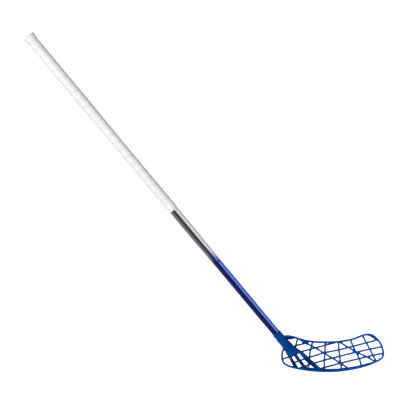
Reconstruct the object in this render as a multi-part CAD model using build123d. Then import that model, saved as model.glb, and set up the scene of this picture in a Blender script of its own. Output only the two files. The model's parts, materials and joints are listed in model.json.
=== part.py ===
"""Floorball stick: a tapered composite shaft with a wrapped grip and a moulded lattice blade.

The stick is in its playing pose: the blade's sole is at the bottom with the toe towards +X, the
shaft leans back towards -X, and the blade hooks towards -Y. Sizes are in millimetres. The origin
is the middle of the grip, on the shaft's axis, where a hand or a holder takes the stick.
"""
from build123d import *
from math import cos, radians, sin, sqrt, tan
import os

# Whole stick
LIE = 50.14                  # angle between the shaft and the ground, degrees
SHAFT_LENGTH = 957.5         # the tube, from under the cap's head to its end inside the blade
SOCKET_DEPTH = 49.0          # how far the tube goes into the blade
FIT = 0.1                    # clearance on the radius of what is pushed or glued in

# Shaft: straight, with a taper between the given distances below the butt end
TUBE_D = 21.1
LOW_D = 18.8
TAPER_START = 610.0
TAPER_END = 680.0
TUBE_WALL = 1.4

# End cap
CAP_D = 28.0
CAP_RISE = 2.5               # thickness of the domed head
CAP_FACE_D = 22.0            # flat middle of the head
CAP_PLUG_LENGTH = 22.0
CAP_WALL = 1.6

# Grip, the knob under it and the finishing band
GRIP_LENGTH = 531.0          # from the butt end to the squared lower edge
GRIP_THICKNESS = 1.1         # at its lower edge
GRIP_PADDING = 1.0           # how much thicker the grip is along its upper part
THINNING_START = 200.0       # the grip thins down between these distances below the butt end
THINNING_END = 340.0
WRAP_GAP = 0.03              # clearance between one wound layer and the next
KNOB_D = 26.2                # the flare at the butt end, under the grip
KNOB_LENGTH = 18.5
BAND_WIDTH = 12.0
BAND_THICKNESS = 0.25
BAND_SETBACK = 0.6           # how much of the grip's cut edge shows below the band

# Plug in the lower end of the tube, and the screw that holds the blade
PLUG_ABOVE_SCREW = 5.0
PLUG_SETBACK = 2.0           # from the end of the tube
SCREW_BELOW_MOUTH = 18.0
SCREW_D = 3.6
SCREW_LENGTH = 12.0
SCREW_TIP = 2.0
SCREW_HEAD_D = 7.0
SCREW_HEAD_HEIGHT = 1.9
SCREW_SEAT_WALL = 1.0        # wall of the socket left under the head
SCREW_DRIVE_D = 3.0
SCREW_DRIVE_DEPTH = 1.2

# Blade: its sole line, rim, lattice and hook. Points are (X, Z) from the lowest point of the sole
MOUTH = (-112.1, 92.2)       # centre of the socket's mouth
RIM_WIDTH = 3.4
RIM_DEPTH = 9.6
RIB_WIDTH = 2.6
RIB_DEPTH = 6.4
RIB_OVERRUN = 6.0            # ribs run on into the rim or the legs
WEB_DEPTH = 2.4              # thin webs that stiffen the rim
LEDGE_SHIFT = (4.0, 3.3)     # the web along the sole: how far it rises into the window
LEDGE_SPAN = (-64.0, 122.0)
OUTLINE_ARCS = 18            # arcs that follow the outline
HOOK_START = -30.0           # the blade is flat up to here, then curves to the toe
HOOK_RADIUS = 610.0

OUTLINE = (                  # from the socket along the top, round the toe, and back along the sole
    (-95, 87), (-79, 87), (-60, 81.7), (-36, 75.6), (-8, 73.2), (15, 73.1), (43, 75.6), (72, 82.5),
    (95, 91.2), (104.5, 92.1), (114, 89.6), (125, 81), (134, 68.5), (140, 51.5), (140.8, 44.5),
    (137, 35), (123, 24.5), (95, 13.2), (62, 5.3), (29, 0.8), (1, 0), (-36, 2.6), (-69, 8.1),
    (-86, 13.3), (-95.5, 19.5), (-100, 28), (-101.2, 36), (-100.5, 46), (-98.2, 53.3))

RISING_RIBS = (
    ((-101, 29.6), (-82, 36.4)),
    ((-70.5, 61.3), (-47, 67.2), (-30, 73.5)),
    ((-56, 47.9), (-31.7, 54), (3, 63.6), (35, 72)),
    ((-68, 23.2), (-45, 31.5), (0, 45.8), (35, 52.6), (68, 61.6), (126, 77.3)),
    ((-59, 9.2), (-28, 20), (2, 28.7), (75, 47.7), (139, 62.3)),
    ((-2.4, 10.3), (38.8, 21.6), (114.7, 40.9), (141, 46.5)))
UPRIGHT_RIBS = (
    ((-60.4, 80.4), (-64.4, 72), (-66.7, 59)),
    ((-25.9, 73.3), (-31.7, 54), (-34.5, 35.7), (-38.3, 5)),
    ((3.5, 73.3), (0.7, 28.7), (0.5, 2.8)),
    ((33.8, 73.3), (34.8, 52.6), (38.8, 21.6), (41.8, 2.8)),
    ((60.6, 79.2), (67.7, 61.6), (82.3, 32.2), (88.8, 11)),
    ((88.1, 89.8), (106.5, 55.2), (122.2, 25.1)))
FALLING_RIBS = (
    ((-58.8, 78), (-44.7, 68.6), (-28.7, 62), (-0.7, 45.6), (38.8, 21.6), (61.1, 6.1)),
    ((35.3, 71.7), (55.2, 59.5), (75, 48), (99.9, 36.9), (121, 24.9)))
RIBS = RISING_RIBS + UPRIGHT_RIBS + FALLING_RIBS
CORNER_WEBS = (
    ((-94, 84), (-84.6, 76.8), (-67, 80), (-72, 85)),
    ((88, 89), (98.7, 87.2), (110.5, 82.6), (120.6, 76.6), (129, 76), (105, 92)))

# Legs: the socket runs on as three legs down to the sole. Points are (distance below the mouth,
# distance from the shaft's axis, positive on the toe side)
SOCKET_WALL = 1.2            # at the mouth
SOCKET_FLOOR = 4.0           # solid material below the end of the tube
LEG_START = 26.0             # where the faces of the legs come out of the round socket
LEG_SECTIONS = (             # below the mouth, growth of half-width, growth of half-depth, shift
    (50, 3.4, 0.7, 0.4), (90, 16.0, -2.6, 2.5), (145, 24.0, -5.4, 2.5))
LEG_FLAT = 0.5               # share of a section's width that is flat, and of its depth at the edge
LEG_TOE_EDGE = ((26, 13), (50, 13.4), (62, 16), (75, 19.9), (109, 24.3), (145, 29.5))
LEG_HEEL_EDGE = ((26, -13), (52, -12.9), (64, -14.9), (75, -17.8), (120, -27))
SLOT_CORNER = 1.0            # cut across the corners of slots and pockets
SLOTS = (
    ((65.5, -6.6), (68, -1.9), (108, -3.1), (108, -12)),
    ((71.5, 4.5), (73, 10.7), (96, 12.6), (99.5, 12.6), (103.5, 8.4), (103.5, 3.5)),
    ((107.8, 7.4), (110.5, 13.8), (124, 15.8), (116, 0)))
POCKETS = (                  # recesses in both faces, beside the ridges of the legs
    ((63.5, -9.6), (65.5, -5.6), (97, -9.6), (93, -16.4)),
    ((70.4, 1.4), (71.4, 5.5), (104, 4.5), (101, -0.4)),
    ((73, 9.7), (75.5, 14.8), (90, 14.6), (92, 11.4)),
    ((96, 19.0), (109.5, 20.0), (105, 12.5)))
POCKET_FLOOR = 5.0           # material left between the two faces of a pocket

AXIS = Vector(cos(radians(LIE)), 0, -sin(radians(LIE)))       # down the shaft
ACROSS = Vector(sin(radians(LIE)), 0, cos(radians(LIE)))      # square to it, on the toe side
TUBE_START = CAP_RISE
TUBE_END = TUBE_START + SHAFT_LENGTH
MOUTH_AT = TUBE_END - SOCKET_DEPTH
SCREW_AT = MOUTH_AT + SCREW_BELOW_MOUTH
TUBE_BORE_R = TUBE_D / 2 - TUBE_WALL
SOCKET_R = LOW_D / 2 + FIT
SCREW_SEAT_R = SOCKET_R + SCREW_SEAT_WALL


def along(s):
    """The point on the shaft's axis that lies s below the butt end."""
    return AXIS * (s - GRIP_LENGTH / 2)


# The shaft's frame has Z down the shaft from the butt end. The blade's frame has X towards the
# toe, Y upwards and Z towards the side that the toe hooks to.
SHAFT_PLACE = Location(Plane(origin=along(0), x_dir=ACROSS, z_dir=AXIS))
BLADE_ORIGIN = along(MOUTH_AT) - Vector(MOUTH[0], 0, MOUTH[1])
BLADE_PLACE = Location(Plane(origin=BLADE_ORIGIN, x_dir=(1, 0, 0), z_dir=(0, -1, 0)))
ROUND = (Align.CENTER, Align.CENTER, Align.MIN)


# ---- Shaft, grip and fasteners ----

def between(s, start, end):
    """How far s has come from start to end, held between 0 and 1."""
    return min(max((s - start) / (end - start), 0), 1)


def shaft_radius(s):
    return (TUBE_D + (LOW_D - TUBE_D) * between(s, TAPER_START, TAPER_END)) / 2


def bore_radius(s):
    return shaft_radius(s) - TUBE_WALL


def knob_radius(s):
    """Outside radius under the grip: the flare, then the bare tube."""
    return (KNOB_D + (TUBE_D - KNOB_D) * between(s, 0, KNOB_LENGTH)) / 2


def grip_bore(s):
    return knob_radius(s) + WRAP_GAP


def grip_radius(s):
    """Outside radius of the grip, which is wound thicker along its upper part."""
    return grip_bore(s) + GRIP_THICKNESS + GRIP_PADDING * (1 - between(s, THINNING_START, THINNING_END))


def turned(points):
    """A solid turned about the shaft's axis from (radius, distance below the butt end) points."""
    return SHAFT_PLACE * revolve(make_face(Plane.XZ * Polyline(*points, close=True)), Axis.Z)


def sleeve(start, end, inner, outer):
    """A turned sleeve between two radii that follow the shaft."""
    bends = (KNOB_LENGTH, THINNING_START, THINNING_END, TAPER_START, TAPER_END)
    bends = [s for s in bends if start < s < end]
    sides = []
    for radius in (inner, outer):
        side = [(radius(s), s) for s in (start, *bends, end)]
        runs = zip(side, side[1:], side[2:])
        sides.append([side[0], *(b for a, b, c in runs if not a[0] == b[0] == c[0]), side[-1]])
    inside, outside = sides
    if outside[-1] == inside[-1]:
        outside.pop()
    return turned(inside + outside[::-1])


def screw_frame(radius):
    """A frame on the screw's axis, on the heel side, with Z outwards from the given radius."""
    return Location(Plane(origin=along(SCREW_AT) - ACROSS * radius, z_dir=-ACROSS))


def screw_hole():
    tip = SCREW_SEAT_R - SCREW_LENGTH - FIT
    return screw_frame(tip) * Cylinder(SCREW_D / 2 + FIT, SCREW_LENGTH + TUBE_D, align=ROUND)


def shaft_tube():
    """Hollow tube of wound composite: straight, then tapered, then straight again."""
    return sleeve(TUBE_START, TUBE_END, bore_radius, shaft_radius) - screw_hole()


def end_cap():
    """Raised head with a flat middle, on a hollow plug that is pushed into the tube."""
    plug = TUBE_BORE_R - FIT
    head = CAP_D / 2
    end = CAP_RISE + CAP_PLUG_LENGTH
    return turned([
        (0, 0), (CAP_FACE_D / 2, 0), (head, CAP_RISE * 0.8), (head, CAP_RISE), (plug, CAP_RISE),
        (plug, end), (plug - CAP_WALL, end), (plug - CAP_WALL, CAP_RISE), (0, CAP_RISE)])


def knob_build_up():
    """Wedge of wound tape that makes the flare under the grip."""
    return sleeve(CAP_RISE, KNOB_LENGTH, shaft_radius, knob_radius)


def grip_wrap():
    """Soft tape wound over the knob and the upper shaft, as one sleeve."""
    return sleeve(CAP_RISE, GRIP_LENGTH, grip_bore, grip_radius)


def finishing_band():
    """Thin tape round the lower end of the grip."""
    end = GRIP_LENGTH - BAND_SETBACK
    start = end - BAND_WIDTH
    bore = grip_radius(start) + WRAP_GAP
    outside = bore + BAND_THICKNESS
    return turned([(bore, start), (outside, start), (outside, end), (bore, end)])


def shaft_plug():
    """Solid plug in the lower end of the tube, which the screw bites into."""
    radius = bore_radius(TUBE_END) - FIT
    end = TUBE_END - PLUG_SETBACK
    start = SCREW_AT - PLUG_ABOVE_SCREW
    return turned([(0, start), (radius, start), (radius, end), (0, end)]) - screw_hole()


def blade_screw():
    """Pan-headed self-tapping screw with a round drive recess and a pointed tip."""
    shank = revolve(make_face(Plane.XZ * Polyline(
        (0, -SCREW_LENGTH), (SCREW_D / 2, SCREW_TIP - SCREW_LENGTH), (SCREW_D / 2, 0),
        (SCREW_HEAD_D / 2, 0), (SCREW_HEAD_D / 2, SCREW_HEAD_HEIGHT), (0, SCREW_HEAD_HEIGHT),
        close=True)), Axis.Z)
    drive = Pos(0, 0, SCREW_HEAD_HEIGHT - SCREW_DRIVE_DEPTH) * Cylinder(
        SCREW_DRIVE_D / 2, SCREW_HEAD_HEIGHT, align=ROUND)
    return screw_frame(SCREW_SEAT_R) * (shank - drive)


# ---- Blade ----

def band(points, width, overrun=0.0):
    """The face of a rib: its centre line widened to both sides and run on past both ends."""
    line = [Vector(*p) for p in points]
    line[0] += (line[0] - line[1]).normalized() * overrun
    line[-1] += (line[-1] - line[-2]).normalized() * overrun
    left, right = [], []
    for before, here, after in zip(line[:1] + line, line, line[1:] + line[-1:]):
        run = (after - before).normalized()
        side = Vector(-run.Y, run.X) * (width / 2)
        left.append(here + side)
        right.append(here - side)
    return make_face(Polyline(*left, *reversed(right), close=True))


def corner_points(face):
    """The corners of a straight-sided face, in order, without those where the side runs on."""
    ends = [(edge @ 0, edge @ 1) for edge in face.outer_wire().order_edges()]
    last = ends[-1]
    loop = []
    for start, end in ends:
        loop.append(start if min((start - p).length for p in last) < 1e-4 else end)
        last = (start, end)
    return [p for before, p, after in zip(loop[-1:] + loop, loop, loop[1:] + loop[:1])
            if (p - before).get_angle(after - p) > 2]


def cornered(loop, cut):
    """A face with the given corners, each cut off as far as its two sides allow."""
    points = []
    for before, p, after in zip(loop[-1:] + loop, loop, loop[1:] + loop[:1]):
        points += [p + (end - p).normalized() * min(cut, 0.4 * (end - p).length)
                   for end in (before, after)]
    return make_face(Polyline(*points, close=True))


def outline_face(margin):
    """The blade's side view less a margin: arcs along its smooth edge, and a line at the socket."""
    edge = Spline(*OUTLINE)
    places = [i / (2 * OUTLINE_ARCS) for i in range(2 * OUTLINE_ARCS + 1)]
    points = [edge @ t + (edge % t).rotate(Axis.Z, -90) * margin for t in places]
    arcs = [ThreePointArc(*points[i:i + 3]) for i in range(0, 2 * OUTLINE_ARCS, 2)]
    return make_face(arcs + [Line(points[-1], points[0])])


def slab(depth):
    """The blade's curved thickness: flat at the heel, then bent round a large radius."""
    half = depth / 2

    def bend(offset, x):
        radius = HOOK_RADIUS - offset
        return (x, HOOK_RADIUS - sqrt(radius ** 2 - (x - HOOK_START) ** 2))

    heel, toe = 1.5 * OUTLINE[0][0], 1.2 * max(p[0] for p in OUTLINE)
    middle = (HOOK_START + toe) / 2
    front = ThreePointArc((HOOK_START, half), bend(half, middle), bend(half, toe))
    back = ThreePointArc(bend(-half, toe), bend(-half, middle), (HOOK_START, -half))
    plan = [Line((heel, half), front @ 0), front, Line(front @ 1, back @ 0), back,
            Line(back @ 1, (heel, -half)), Line((heel, -half), (heel, half))]
    return extrude(Plane.XZ * make_face(plan), amount=2 * MOUTH[1], both=True)


def prism(face, depth=3 * TUBE_D):
    """A straight block with the given side view, centred on the blade's middle plane."""
    return extrude(face, amount=depth / 2, both=True)


def lattice_cells(window):
    """The openings between the ribs, inside the rim."""
    sheet = make_face(Polyline(*OUTLINE, close=True))
    sheet -= [band(points, RIB_WIDTH, RIB_OVERRUN) for points in RIBS]
    cells = [corner_points(cell) for cell in sheet.faces()]
    return [make_face(Polyline(*corners, close=True)) & window for corners in cells]


def thin_webs(window):
    """The ledge along the sole and the webs in two corners of the rim."""
    low, high = LEDGE_SPAN
    span = Pos((low + high) / 2, 0) * Rectangle(high - low, MOUTH[1])
    ledge = (window - Pos(*LEDGE_SHIFT) * window) & span
    return ledge + [make_face(Polyline(*corner, close=True)) & window for corner in CORNER_WEBS]


def plate(outline, window):
    """The rim, the lattice and the webs, each with its own depth along the same curve."""
    ribs = outline - lattice_cells(window)
    layers = ((outline - window, RIM_DEPTH), (ribs, RIB_DEPTH), (thin_webs(window), WEB_DEPTH))
    rim, lattice, webs = [prism(face) & slab(depth) for face, depth in layers]
    return rim + lattice + webs


def from_mouth(points):
    """Blade points of (distance below the mouth, distance from the axis) pairs."""
    down, out = Vector(AXIS.X, AXIS.Z), Vector(ACROSS.X, ACROSS.Z)
    return [Vector(*MOUTH) + down * below + out * off for below, off in points]


def leg_section(below, half_width, half_depth, shift):
    """A section square to the shaft's axis: an oval drawn as eight flats."""
    centre, = from_mouth([(below, shift)])
    place = Plane(centre, x_dir=(ACROSS.X, ACROSS.Z), z_dir=(AXIS.X, AXIS.Z))
    width, depth = half_width * LEG_FLAT, half_depth * LEG_FLAT
    quarter = ((half_width, depth), (width, half_depth))
    corners = [*quarter, *((-x, y) for x, y in quarter[::-1])]
    corners += [(-x, -y) for x, y in corners]
    return place * make_face(Polyline(*corners, close=True))


def leg_block(outline):
    """The round socket, and the wedge that its legs are cut from."""
    radius = SOCKET_R + SOCKET_WALL
    inside = radius / sqrt(1 + LEG_FLAT ** 2)
    sections = [leg_section(LEG_START, inside, inside, 0)]
    sections += [leg_section(below, radius + wider, radius + deeper, shift)
                 for below, wider, deeper, shift in LEG_SECTIONS]
    trim = make_face(Polyline(*from_mouth(LEG_TOE_EDGE + LEG_HEEL_EDGE[::-1]), close=True))
    mouth = Plane(MOUTH, x_dir=(ACROSS.X, ACROSS.Z), z_dir=(AXIS.X, AXIS.Z))
    socket = mouth * Cylinder(radius, SOCKET_DEPTH + SOCKET_FLOOR, align=ROUND)
    return socket + (loft(sections, ruled=True) & prism(trim & outline))


def legs(outline):
    """The socket and three legs, with slots between the legs and pockets beside their ridges."""
    slots = [prism(cornered(from_mouth(slot), SLOT_CORNER)) for slot in SLOTS]
    pockets = [prism(cornered(from_mouth(pocket), SLOT_CORNER)) for pocket in POCKETS]
    floor = prism(Pos(*MOUTH) * Rectangle(4 * MOUTH[1], 4 * MOUTH[1]), POCKET_FLOOR)
    return leg_block(outline) - slots - [pocket - floor for pocket in pockets]


def blade():
    """One moulding: socket, three legs, rim and lattice, bent to its hook."""
    outline = outline_face(0)
    window = outline_face(RIM_WIDTH)
    body = BLADE_PLACE * (plate(outline, window) + legs(outline))
    bore = turned([(0, MOUTH_AT - FIT), (SOCKET_R, MOUTH_AT - FIT), (SOCKET_R, TUBE_END + FIT),
                   (0, TUBE_END + FIT)])
    seat = screw_frame(SCREW_SEAT_R) * Cylinder(SCREW_HEAD_D / 2 + FIT, TUBE_D, align=ROUND)
    return body - bore - seat - screw_hole()


os.makedirs("parts", exist_ok=True)
for sub_part in (shaft_tube, end_cap, knob_build_up, grip_wrap, finishing_band, shaft_plug,
                 blade, blade_screw):
    export_step(sub_part(), f"parts/{sub_part.__name__}.step")
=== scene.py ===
"""Floorball stick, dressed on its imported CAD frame: lacquered shaft, wound grip and lattice blade."""
import json

import bmesh
import bpy
import numpy as np
from mathutils import Matrix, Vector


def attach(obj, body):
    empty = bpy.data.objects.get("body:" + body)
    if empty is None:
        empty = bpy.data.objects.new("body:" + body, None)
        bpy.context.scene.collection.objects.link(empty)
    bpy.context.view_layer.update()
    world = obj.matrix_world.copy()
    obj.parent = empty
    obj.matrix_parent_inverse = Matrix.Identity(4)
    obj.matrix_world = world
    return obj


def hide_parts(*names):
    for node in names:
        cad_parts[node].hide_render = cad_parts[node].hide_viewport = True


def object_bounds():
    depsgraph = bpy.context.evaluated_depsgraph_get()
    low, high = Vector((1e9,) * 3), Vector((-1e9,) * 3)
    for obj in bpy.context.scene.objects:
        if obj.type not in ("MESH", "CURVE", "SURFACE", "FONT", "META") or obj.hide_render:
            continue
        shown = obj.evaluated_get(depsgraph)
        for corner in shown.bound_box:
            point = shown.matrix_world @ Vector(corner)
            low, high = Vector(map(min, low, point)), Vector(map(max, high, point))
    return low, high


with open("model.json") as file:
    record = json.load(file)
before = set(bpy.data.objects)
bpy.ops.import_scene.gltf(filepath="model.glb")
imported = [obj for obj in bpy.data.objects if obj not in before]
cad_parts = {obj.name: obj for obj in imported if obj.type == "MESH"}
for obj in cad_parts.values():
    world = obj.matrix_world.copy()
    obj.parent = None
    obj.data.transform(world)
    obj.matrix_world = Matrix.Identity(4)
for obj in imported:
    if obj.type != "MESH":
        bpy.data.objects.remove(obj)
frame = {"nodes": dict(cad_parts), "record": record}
cad_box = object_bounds()


# ==== Camera and studio ====
# The stick leans in its playing pose, seen square on from the side that the toe hooks to. The
# camera stands far back with a long lens, level, at half the stick's height.

VIEW_WIDTH = 0.940
VIEW_CENTRE = (0.2344, -0.1830)
LENS = 250.0
SENSOR = 36.0
SIGHT_END = 50.0
BACKGROUND = "#ffffff"
ROOM_COLOUR = "#f6f7fa"
ROOM_BRIGHT, ROOM_DIM = 0.55, 0.06
ROOM_LIGHT_FROM, ROOM_SPAN = (-0.68, -0.58, -0.45), (-0.8, 0.9)
FLOOR_COLOUR, FLOOR_GLOW = "#f4f4f4", 0.88
FLOOR_SIZE = 9.0
LAMPS = (                    # name, place, what it shines at, size and watts
    ("key", (-0.7, -2.45, 0.0), (0.2, 0, -0.2), (1.0, 0.9), 41),
    ("left_strip", (-2.3, -0.5, -0.3), (0.2, 0, -0.3), (0.5, 0.5), 4),
    ("right_strip", (2.1, -1.9, 0.2), (0.3, 0, -0.4), (0.25, 1.2), 5),
    ("back_fill", (-0.6, 2.3, 0.3), (0.2, 0, -0.2), (1.2, 1.0), 30))


def linear(colour):
    """A colour written as sRGB hex, as linear red, green, blue and an alpha of 1."""
    parts = [int(colour[i:i + 2], 16) / 255 for i in (1, 3, 5)]
    return tuple(c / 12.92 if c <= 0.04045 else ((c + 0.055) / 1.055) ** 2.4 for c in parts) + (1.0,)


def node(tree, kind, inputs=None, stops=(), **settings):
    """Adds a node, sets its properties, and fills its inputs with values or links.

    Inputs go by name or number. A colour is written as sRGB hex, also in a colour ramp's stops.
    """
    made = tree.nodes.new(kind)
    for name, value in settings.items():
        setattr(made, name, value)
    for name, value in (inputs or {}).items():
        if isinstance(value, bpy.types.NodeSocket):
            tree.links.new(value, made.inputs[name])
        else:
            made.inputs[name].default_value = linear(value) if isinstance(value, str) else value
    while stops and len(made.color_ramp.elements) < len(stops):
        made.color_ramp.elements.new(0.5)
    for i, (place, colour) in enumerate(stops):
        made.color_ramp.elements[i].position = place
        made.color_ramp.elements[i].color = linear(colour)
    return made


camera_data = bpy.data.cameras.new("camera")
camera_data.lens = LENS
camera_data.sensor_width = SENSOR
camera = bpy.data.objects.new("camera", camera_data)
bpy.context.collection.objects.link(camera)
camera.location = (VIEW_CENTRE[0], -VIEW_WIDTH * LENS / SENSOR, VIEW_CENTRE[1])
camera.rotation_euler = (np.pi / 2, 0, 0)
camera_data.clip_end = SIGHT_END
bpy.context.scene.camera = camera
bpy.context.scene.view_settings.view_transform = "Standard"

world = bpy.data.worlds.new("studio")
bpy.context.scene.world = world
world.use_nodes = True
sky = world.node_tree
sky.nodes.clear()


def straight_rays(tree):
    """1 for a ray that shows the background itself, also in gloss or through glass, and else 0."""
    rays = node(tree, "ShaderNodeLightPath").outputs
    mirrored = node(tree, "ShaderNodeMath", {0: rays["Is Glossy Ray"],
                                             1: rays["Is Transmission Ray"]}, operation="MAXIMUM")
    return node(tree, "ShaderNodeMath", {0: rays["Is Camera Ray"], 1: mirrored.outputs[0]},
                operation="MAXIMUM").outputs[0]


plain = node(sky, "ShaderNodeBackground", {"Color": BACKGROUND, "Strength": 1.0})
way = node(sky, "ShaderNodeVectorMath", {0: node(sky, "ShaderNodeTexCoord").outputs["Generated"],
                                         1: ROOM_LIGHT_FROM}, operation="DOT_PRODUCT")
room = node(sky, "ShaderNodeMapRange", {"Value": way.outputs["Value"], "From Min": ROOM_SPAN[0],
                                        "From Max": ROOM_SPAN[1], "To Min": ROOM_DIM,
                                        "To Max": ROOM_BRIGHT}, interpolation_type="SMOOTHSTEP")
lit = node(sky, "ShaderNodeBackground", {"Color": ROOM_COLOUR, "Strength": room.outputs[0]})
mixed = node(sky, "ShaderNodeMixShader", {0: straight_rays(sky), 1: lit.outputs[0],
                                          2: plain.outputs[0]})
node(sky, "ShaderNodeOutputWorld", {"Surface": mixed.outputs[0]})


def new_material(name):
    """An empty node material, and its node tree."""
    made = bpy.data.materials.new(name)
    made.use_nodes = True
    made.node_tree.nodes.clear()
    return made, made.node_tree


def paper_sweep():
    """White paper: matt, with a glow for the camera alone, so that it runs into the background."""
    made, tree = new_material("white_paper_sweep")
    matt = node(tree, "ShaderNodeBsdfDiffuse", {"Color": FLOOR_COLOUR, "Roughness": 0.5})
    glow = node(tree, "ShaderNodeEmission", {"Color": BACKGROUND, "Strength": FLOOR_GLOW})
    both = node(tree, "ShaderNodeAddShader", {0: matt.outputs[0], 1: glow.outputs[0]})
    shown = node(tree, "ShaderNodeMixShader", {0: straight_rays(tree), 1: matt.outputs[0],
                                               2: both.outputs[0]})
    node(tree, "ShaderNodeOutputMaterial", {"Surface": shown.outputs[0]})
    return made


# The floor shows the stick's shadow. It keeps no light from the stick and throws none back at it,
# which would put noise into the white grip.
lowest = cad_box[0][2]
corner = FLOOR_SIZE / 2
floor_mesh = bpy.data.meshes.new("floor")
floor_mesh.from_pydata([(-corner, -corner, lowest), (corner, -corner, lowest),
                        (corner, corner, lowest), (-corner, corner, lowest)], [], [(0, 1, 2, 3)])
floor = bpy.data.objects.new("floor", floor_mesh)
bpy.context.collection.objects.link(floor)
floor_mesh.materials.append(paper_sweep())
floor.visible_diffuse = False
floor.visible_shadow = False


def softbox(name, place, aim, size, power):
    """A rectangular lamp at one point, turned to shine at another."""
    data = bpy.data.lights.new(name, "AREA")
    data.shape = "RECTANGLE"
    data.size, data.size_y = size
    data.energy = power
    lamp = bpy.data.objects.new(name, data)
    bpy.context.collection.objects.link(lamp)
    back = np.array(place, float) - np.array(aim, float)
    back /= np.linalg.norm(back)
    across = np.cross((0, 0, 1), back)
    across /= np.linalg.norm(across)
    turn = Matrix(np.column_stack([across, np.cross(back, across), back]).tolist()).to_4x4()
    lamp.matrix_world = Matrix.Translation(place) @ turn


for lamp_settings in LAMPS:
    softbox(*lamp_settings)


# ==== Shaft tube ====
# A composite tube wound from glass and carbon fibre, ground, sprayed and clear-lacquered. One
# half round is light and the other dark, and a fade and a thin ring mark off the blue lower part.

# Places on the stick are distances in millimetres below the butt end. ACROSS is square to its
# axis, towards the toe, and OUT faces the side that the toe hooks to.
MM = 0.001
mounts = {mount["name"]: mount for mount in frame["record"]["mounts"]}
BUTT = np.array(mounts["butt_face"]["pos_m"])
DOWN = -np.array(mounts["butt_face"]["axis"])
DOWN /= np.linalg.norm(DOWN)
OUT = np.array([0.0, -1.0, 0.0])
ACROSS = np.array([-DOWN[2], 0.0, DOWN[0]])

TUBE_START, TUBE_END = 2.5, 960.0
TUBE_D, LOW_D, TUBE_WALL = 21.1, 18.8, 1.4
GRIP_END, TAPER_START, TAPER_END = 531.0, 610.0, 680.0
UNDER_GRIP, STATION_STEP = 20.0, 10.0    # how far inside the grip its rows start, and their spacing
FADE_START, FADE_END = 668.0, 693.0
FADE_WEDGE = (-32.0, -22.0)  # how much sooner the fade starts and ends beside the border
WEDGE_SPAN = (0.62, 0.715)   # in turns, as the paints' stops are
PALE_TO, PALE = 535.0, "#f1effa"         # above this place the lacquer is pale all round
RING_AT, RING_WIDTH, RING_COLOUR = 694.5, 2.4, "#08080c"
WEAVE_COLOUR, WEAVE_SHARE, WEAVES_PER_MM = "#202028", 0.05, 0.9
BORDER, BORDER_EDGE = 0.7195, 0.001      # where the light half meets the dark one, and how softly
# Both tables hold the two-tone paint and a painted sheen: their lighter and darker stops round the turn
# stand in for the clear coat's glints.
UPPER_PAINT_AND_SHEEN = (              # turns from the heel side, by the back and the toe side, to the front
    (0.0, "#232326"), (0.262, "#e4e2ec"), (0.42, "#eeedf3"), (0.60, "#f4f3f7"),
    (0.708, "#f1effa"), (BORDER - BORDER_EDGE, "#9a99a3"), (BORDER, "#161619"),
    (0.76, "#29292c"), (0.829, "#525256"), (0.88, "#7e7e84"), (0.94, "#77777c"))
LOWER_PAINT_AND_SHEEN = (
    (0.0, "#0a1670"), (0.262, "#4a6cff"), (0.45, "#3c62ff"), (0.62, "#4a74ff"),
    (0.671, "#648cff"), (0.708, "#769aff"), (BORDER - BORDER_EDGE, "#3a4fb4"),
    (BORDER, "#000008"), (0.76, "#000214"), (0.83, "#000e5c"), (0.93, "#06157c"))


def grid_faces(points, along, loop=False, partner=None):
    """Vertices, faces and face corners' UVs for a grid of points whose columns close on themselves.

    Rows run along the piece. The ends get a fan each, or are joined to each other where loop is
    set. The UVs hold the share of the way round a row, with a column more for the seam, and the
    distance along the piece in metres. Where the rows follow a spiral, partner is the row that
    each row runs on into after a turn.
    """
    rows, columns, _ = points.shape
    uv = np.stack(np.broadcast_arrays(np.arange(columns + 1) / columns, along), -1)
    r, c = np.meshgrid(np.arange(rows if loop else rows - 1), np.arange(columns), indexing="ij")
    below = (r + 1) % rows
    partner = np.arange(rows) if partner is None else partner
    beside, beside_below = (np.where(c + 1 == columns, partner[row] * columns,
                                     row * columns + c + 1) for row in (r, below))
    quads = np.stack([r * columns + c, beside, beside_below, below * columns + c], -1)
    shades = np.stack([uv[r, c], uv[r, c + 1], uv[below, c + 1], uv[below, c]], 2)
    vertices, faces, corners = points.reshape(-1, 3), quads.reshape(-1, 4).tolist(), [shades]
    if not loop:
        ring = np.arange(columns)
        for row, order in ((0, slice(None)), (rows - 1, slice(None, None, -1))):
            fan = np.stack([row * columns + ring, np.full(columns, len(vertices)),
                            row * columns + (ring + 1) % columns], -1)
            vertices = np.vstack([vertices, points[row].mean(0)])
            shades = np.stack([uv[row, :-1], (uv[row, :-1] + uv[row, 1:]) / 2, uv[row, 1:]], 1)
            faces += fan[:, order].tolist()
            corners.append(shades[:, order])
    return vertices, faces, np.concatenate([part.reshape(-1, 2) for part in corners])


def piece(name, grids, material, node_name):
    """One smooth object from one or more grids, riding on the stick in place of its CAD node."""
    vertices, faces, corners, count = [], [], [], 0
    for part_vertices, part_faces, part_corners in grids:
        vertices.append(part_vertices)
        faces += [[i + count for i in face] for face in part_faces]
        corners.append(part_corners)
        count += len(part_vertices)
    mesh = bpy.data.meshes.new(name)
    mesh.from_pydata(np.vstack(vertices).tolist(), [], faces)
    mesh.uv_layers.new(name="along").data.foreach_set("uv", np.vstack(corners).ravel())
    mesh.polygons.foreach_set("use_smooth", np.ones(len(faces), bool))
    mesh.materials.append(material)
    made = bpy.data.objects.new(name, mesh)
    bpy.context.collection.objects.link(made)
    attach(made, "root")
    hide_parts(node_name)
    return made


def turned(profile, columns=96, loop=False, start=BUTT, axis=DOWN, spoke=ACROSS):
    """A surface of revolution from (distance along the axis, radius) pairs in millimetres.

    On the stick's own axis the angle starts on the toe side and passes the front at a quarter
    turn.
    """
    profile = np.asarray(profile, float)
    angle = 2 * np.pi * (np.arange(columns) / columns)
    spokes = np.cos(angle)[:, None] * spoke + np.sin(angle)[:, None] * np.cross(axis, spoke)
    points = start + (axis * profile[:, :1, None] + spokes * profile[:, 1:, None]) * MM
    return grid_faces(points, profile[:, :1] * MM, loop)


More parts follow.
